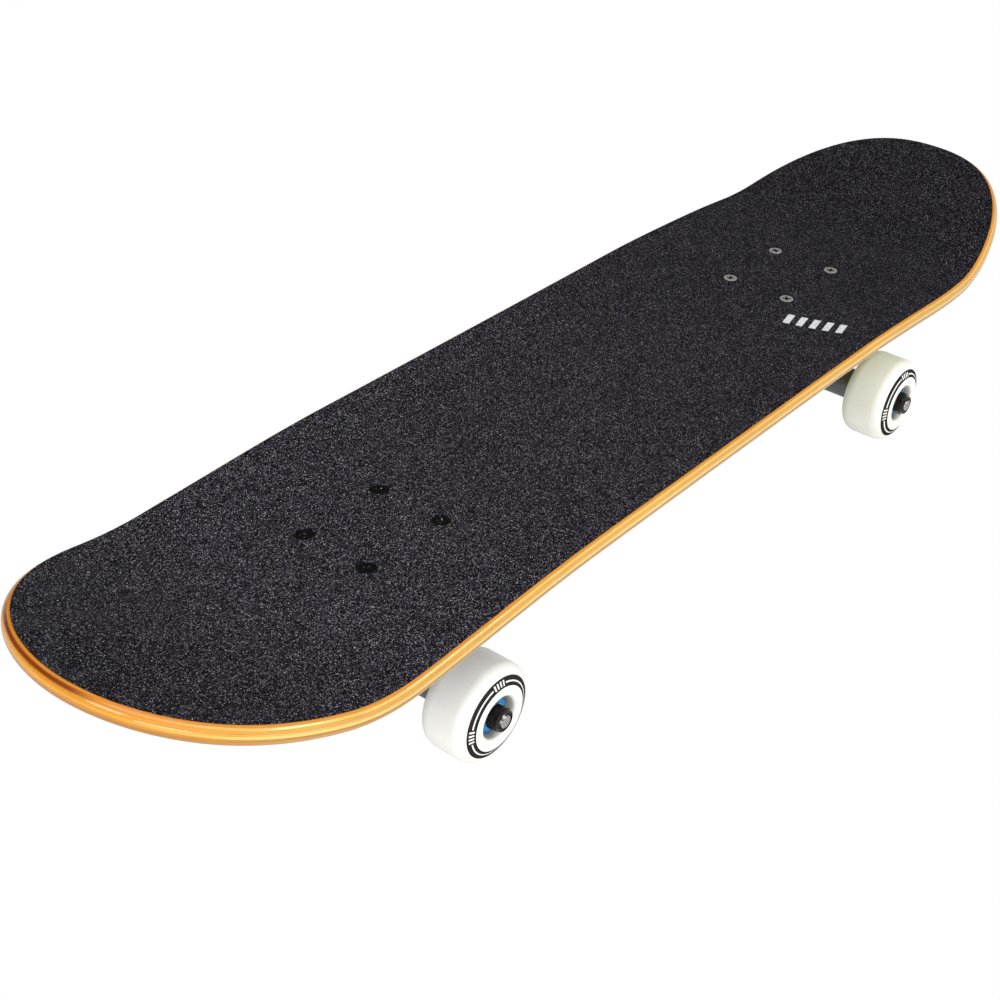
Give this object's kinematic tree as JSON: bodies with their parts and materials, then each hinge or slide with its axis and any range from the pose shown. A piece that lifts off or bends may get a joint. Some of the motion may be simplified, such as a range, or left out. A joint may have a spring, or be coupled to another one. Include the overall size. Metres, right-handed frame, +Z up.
{
  "type": "skateboard",
  "caption": "Complete street skateboard: concave wooden deck with kicked ends and grip tape, on two sprung steering trucks with free-rolling wheels.",
  "frame": {"origin": "on the floor, under the middle of the overall length and width", "axes": "+X towards the nose (the front truck), +Y to the rider's left, +Z up"},
  "size_m": [0.7812, 0.1926, 0.1185],
  "materials": {
    "maple": "clear gloss varnish over maple plies",
    "grip": "coarse abrasive grit",
    "truck_metal": "satin grey cast",
    "wheel": "satin cast urethane",
    "bushing": "satin urethane",
    "pivot_plastic": "matte",
    "bearing": "ground steel with a blue shield",
    "axle_steel": "bright steel",
    "black_nuts": "black oxide",
    "front_bolts": "satin grey",
    "rear_bolts": "black oxide"
  },
  "bodies": {
    "board": {"deck": "maple", "grip_tape": "grip", "front_baseplate": "truck_metal", "front_pivot_cup": "pivot_plastic", "front_kingpin": "axle_steel", "front_kingpin_nut": "axle_steel", "front_top_bushing": "bushing", "front_bottom_bushing": "bushing", "front_top_washer": "axle_steel", "front_bottom_washer": "axle_steel", "front_bolt_inner_left": "front_bolts", "front_nut_inner_left": "black_nuts", "front_bolt_outer_left": "front_bolts", "front_nut_outer_left": "black_nuts", "front_bolt_inner_right": "front_bolts", "front_nut_inner_right": "black_nuts", "front_bolt_outer_right": "front_bolts", "front_nut_outer_right": "black_nuts", "rear_baseplate": "truck_metal", "rear_pivot_cup": "pivot_plastic", "rear_kingpin": "axle_steel", "rear_kingpin_nut": "axle_steel", "rear_top_bushing": "bushing", "rear_bottom_bushing": "bushing", "rear_top_washer": "axle_steel", "rear_bottom_washer": "axle_steel", "rear_bolt_inner_left": "rear_bolts", "rear_nut_inner_left": "black_nuts", "rear_bolt_outer_left": "rear_bolts", "rear_nut_outer_left": "black_nuts", "rear_bolt_inner_right": "rear_bolts", "rear_nut_inner_right": "black_nuts", "rear_bolt_outer_right": "rear_bolts", "rear_nut_outer_right": "black_nuts"},
    "front_hanger": {"front_hanger": "truck_metal", "front_axle": "axle_steel", "front_axle_washer_left": "axle_steel", "front_axle_nut_left": "black_nuts", "front_axle_washer_right": "axle_steel", "front_axle_nut_right": "black_nuts"},
    "front_wheel_left_body": {"front_wheel_left": "wheel", "front_bearing_inner_left": "bearing", "front_bearing_outer_left": "bearing"},
    "front_wheel_right_body": {"front_wheel_right": "wheel", "front_bearing_inner_right": "bearing", "front_bearing_outer_right": "bearing"},
    "rear_hanger": {"rear_hanger": "truck_metal", "rear_axle": "axle_steel", "rear_axle_washer_left": "axle_steel", "rear_axle_nut_left": "black_nuts", "rear_axle_washer_right": "axle_steel", "rear_axle_nut_right": "black_nuts"},
    "rear_wheel_left_body": {"rear_wheel_left": "wheel", "rear_bearing_inner_left": "bearing", "rear_bearing_outer_left": "bearing"},
    "rear_wheel_right_body": {"rear_wheel_right": "wheel", "rear_bearing_inner_right": "bearing", "rear_bearing_outer_right": "bearing"}
  },
  "joints": [
    {"name": "front_steer", "type": "hinge", "parent": "board", "child": "front_hanger", "pos_m": [0.21619, 0, 0.0655], "axis": [-0.8757, 0, -0.4828], "range_deg": [-12, 12], "stiffness_Nm_per_rad": 70, "deforming": ["front_top_bushing", "front_bottom_bushing"]},
    {"name": "front_left_wheel_spin", "type": "hinge", "parent": "front_hanger", "child": "front_wheel_left_body", "pos_m": [0.19889, 0.076, 0.027], "axis": [0, 1, 0], "continuous": true},
    {"name": "front_right_wheel_spin", "type": "hinge", "parent": "front_hanger", "child": "front_wheel_right_body", "pos_m": [0.19889, -0.076, 0.027], "axis": [0, 1, 0], "continuous": true},
    {"name": "rear_steer", "type": "hinge", "parent": "board", "child": "rear_hanger", "pos_m": [-0.22179, 0, 0.0655], "axis": [0.8757, 0, -0.4828], "range_deg": [-12, 12], "stiffness_Nm_per_rad": 70, "deforming": ["rear_top_bushing", "rear_bottom_bushing"]},
    {"name": "rear_left_wheel_spin", "type": "hinge", "parent": "rear_hanger", "child": "rear_wheel_left_body", "pos_m": [-0.20449, 0.076, 0.027], "axis": [0, 1, 0], "continuous": true},
    {"name": "rear_right_wheel_spin", "type": "hinge", "parent": "rear_hanger", "child": "rear_wheel_right_body", "pos_m": [-0.20449, -0.076, 0.027], "axis": [0, 1, 0], "continuous": true}
  ]
}
